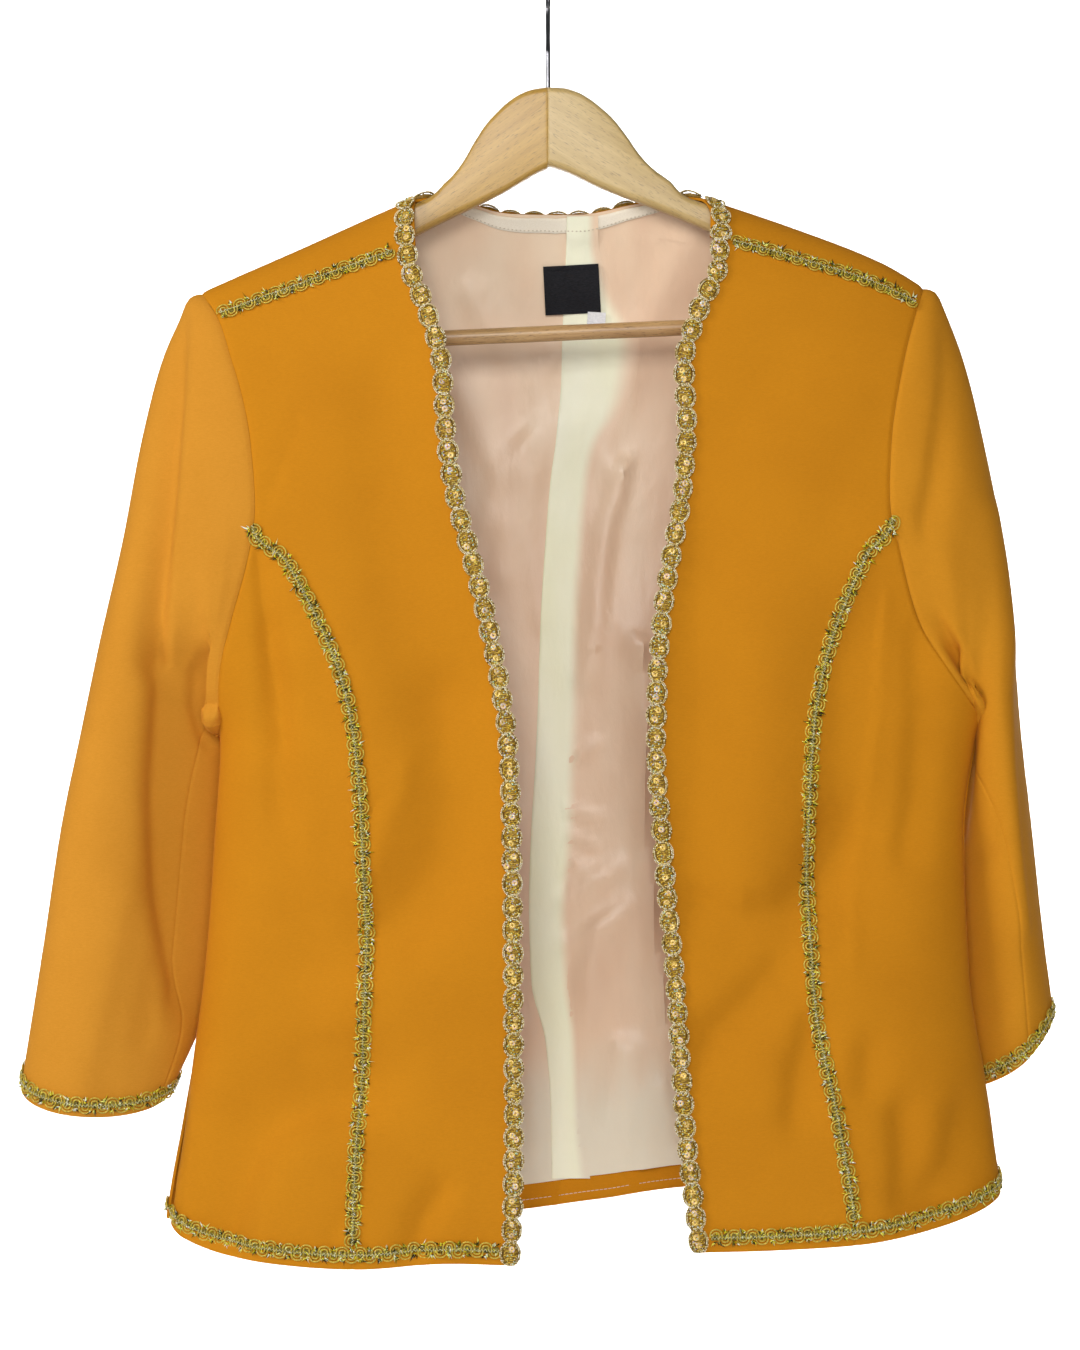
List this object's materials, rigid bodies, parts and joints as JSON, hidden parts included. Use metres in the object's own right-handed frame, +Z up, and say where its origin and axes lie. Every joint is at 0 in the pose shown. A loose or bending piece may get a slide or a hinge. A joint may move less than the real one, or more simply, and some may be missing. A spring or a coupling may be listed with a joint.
{
  "type": "blazer on a wooden clothes hanger",
  "caption": "Collarless open-front women's blazer with three-quarter sleeves, gimp and sequin braid trims and a satin lining, hanging on a wooden clothes hanger with a bar.",
  "frame": {"origin": "the inside of the hook's top, where the hook bears on its rail", "axes": "+X is the viewer's right when the open front is seen, -Y points to the viewer in front of the jacket, +Z is up"},
  "size_m": [0.6784, 0.1302, 0.8371],
  "materials": {
    "golden_crepe": "matt crepe",
    "gimp_braid": "satin cord with metallic tinsel",
    "sequin_braid": "beaded cord with sequins",
    "peach_satin": "satin lining",
    "cream_satin": "satin lining",
    "facing": "plain woven",
    "label": "woven label",
    "size_tab": "woven tab",
    "beech": "clear lacquer",
    "wire": "bright"
  },
  "bodies": {
    "root": {"front_left": "golden_crepe", "front_right": "golden_crepe", "side_front_left": "golden_crepe", "side_front_right": "golden_crepe", "back_left": "golden_crepe", "back_right": "golden_crepe", "sleeve_upper_left": "golden_crepe", "sleeve_upper_right": "golden_crepe", "sleeve_under_left": "golden_crepe", "sleeve_under_right": "golden_crepe", "braid_shoulder_left": "gimp_braid", "braid_shoulder_right": "gimp_braid", "braid_princess_left": "gimp_braid", "braid_princess_right": "gimp_braid", "braid_hem_left": "gimp_braid", "braid_hem_right": "gimp_braid", "braid_cuff_left": "gimp_braid", "braid_cuff_right": "gimp_braid", "sequin_edge_left": "sequin_braid", "sequin_edge_right": "sequin_braid", "sequin_neck": "sequin_braid", "lining_back_left": "peach_satin", "lining_back_right": "peach_satin", "lining_pleat": "cream_satin", "neck_facing": "facing", "label": "label", "size_tab": "size_tab", "hanger_arm_left": "beech", "hanger_arm_right": "beech", "hanger_bar": "beech", "hanger_hook": "wire"}
  },
  "joints": []
}
